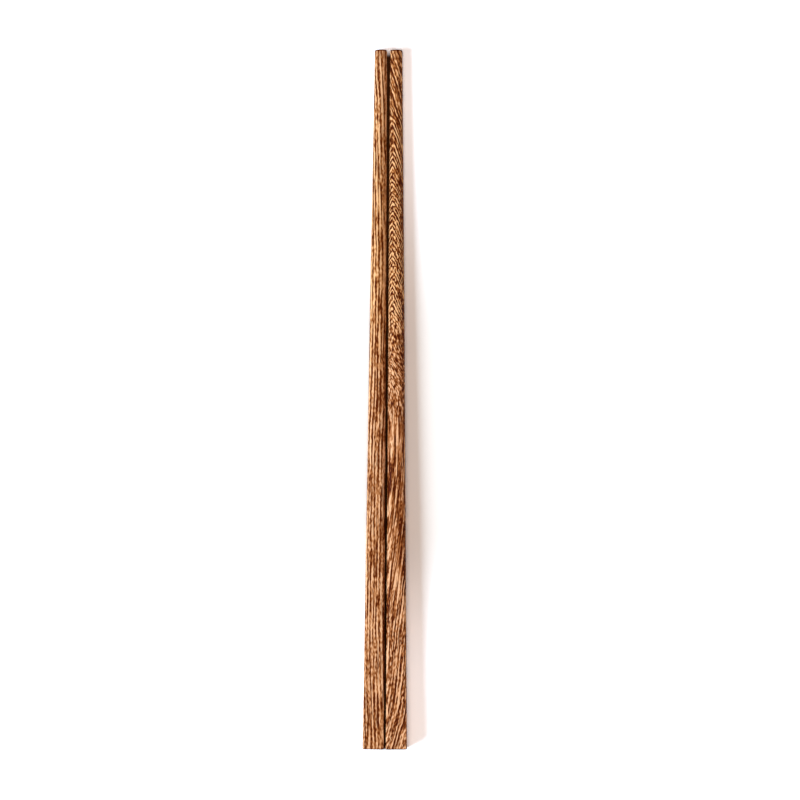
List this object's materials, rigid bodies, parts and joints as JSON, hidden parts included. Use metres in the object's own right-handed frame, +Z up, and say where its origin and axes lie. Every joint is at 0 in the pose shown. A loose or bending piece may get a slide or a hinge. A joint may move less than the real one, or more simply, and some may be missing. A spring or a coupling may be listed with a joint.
{
  "type": "pair of wooden chopsticks",
  "caption": "Pair of dark streaked hardwood chopsticks lying side by side, with square handles that blend into round tapered tips, for picking up food.",
  "frame": {"origin": "on the surface the pair lies on, at the centre of the pair's footprint", "axes": "+Y from the handle ends to the tips, +Z up from the table, +X from the left stick to the right stick"},
  "size_m": [0.0158, 0.25, 0.0076],
  "materials": {
    "golden_wood": "oiled satin, golden brown with dark pore streaks along the stick",
    "russet_wood": "oiled satin, red brown with a feathered figure of light and dark dashes"
  },
  "bodies": {
    "root": {"left_chopstick": "golden_wood", "right_chopstick": "russet_wood"}
  },
  "joints": []
}
